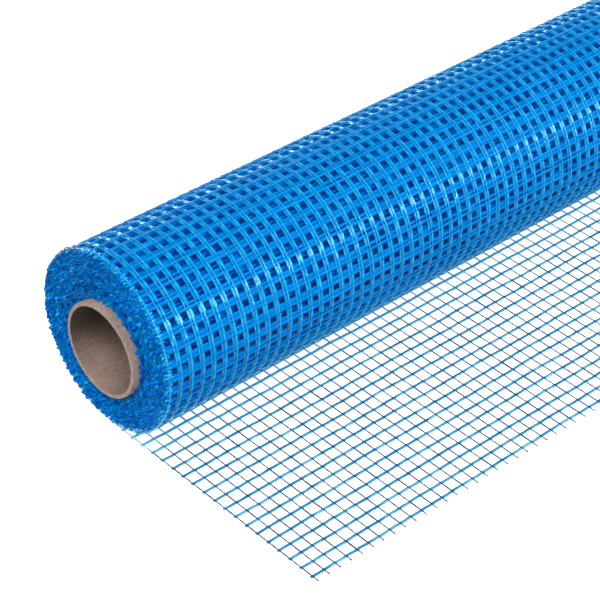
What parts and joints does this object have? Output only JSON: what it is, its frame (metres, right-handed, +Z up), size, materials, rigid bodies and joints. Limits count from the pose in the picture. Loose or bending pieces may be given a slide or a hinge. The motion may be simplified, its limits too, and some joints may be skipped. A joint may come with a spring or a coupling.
{
  "type": "roll of fiberglass mesh",
  "caption": "Roll of open square glass-fibre mesh wound on a cardboard tube and lying on its side, with the free end of the web unrolled flat.",
  "frame": {"origin": "on the floor, under the middle of the bounding box", "axes": "+X along the roll's axis, -Y the way the free end is unrolled, +Z up"},
  "size_m": [1.0054, 0.139, 0.0676],
  "materials": {
    "mesh": "alkali-resistant blue coating on glass yarn, satin to glossy",
    "cardboard": "raw grey-brown paper tube, matt"
  },
  "bodies": {
    "root": {"mesh_web": "mesh", "cardboard_core": "cardboard"}
  },
  "joints": []
}
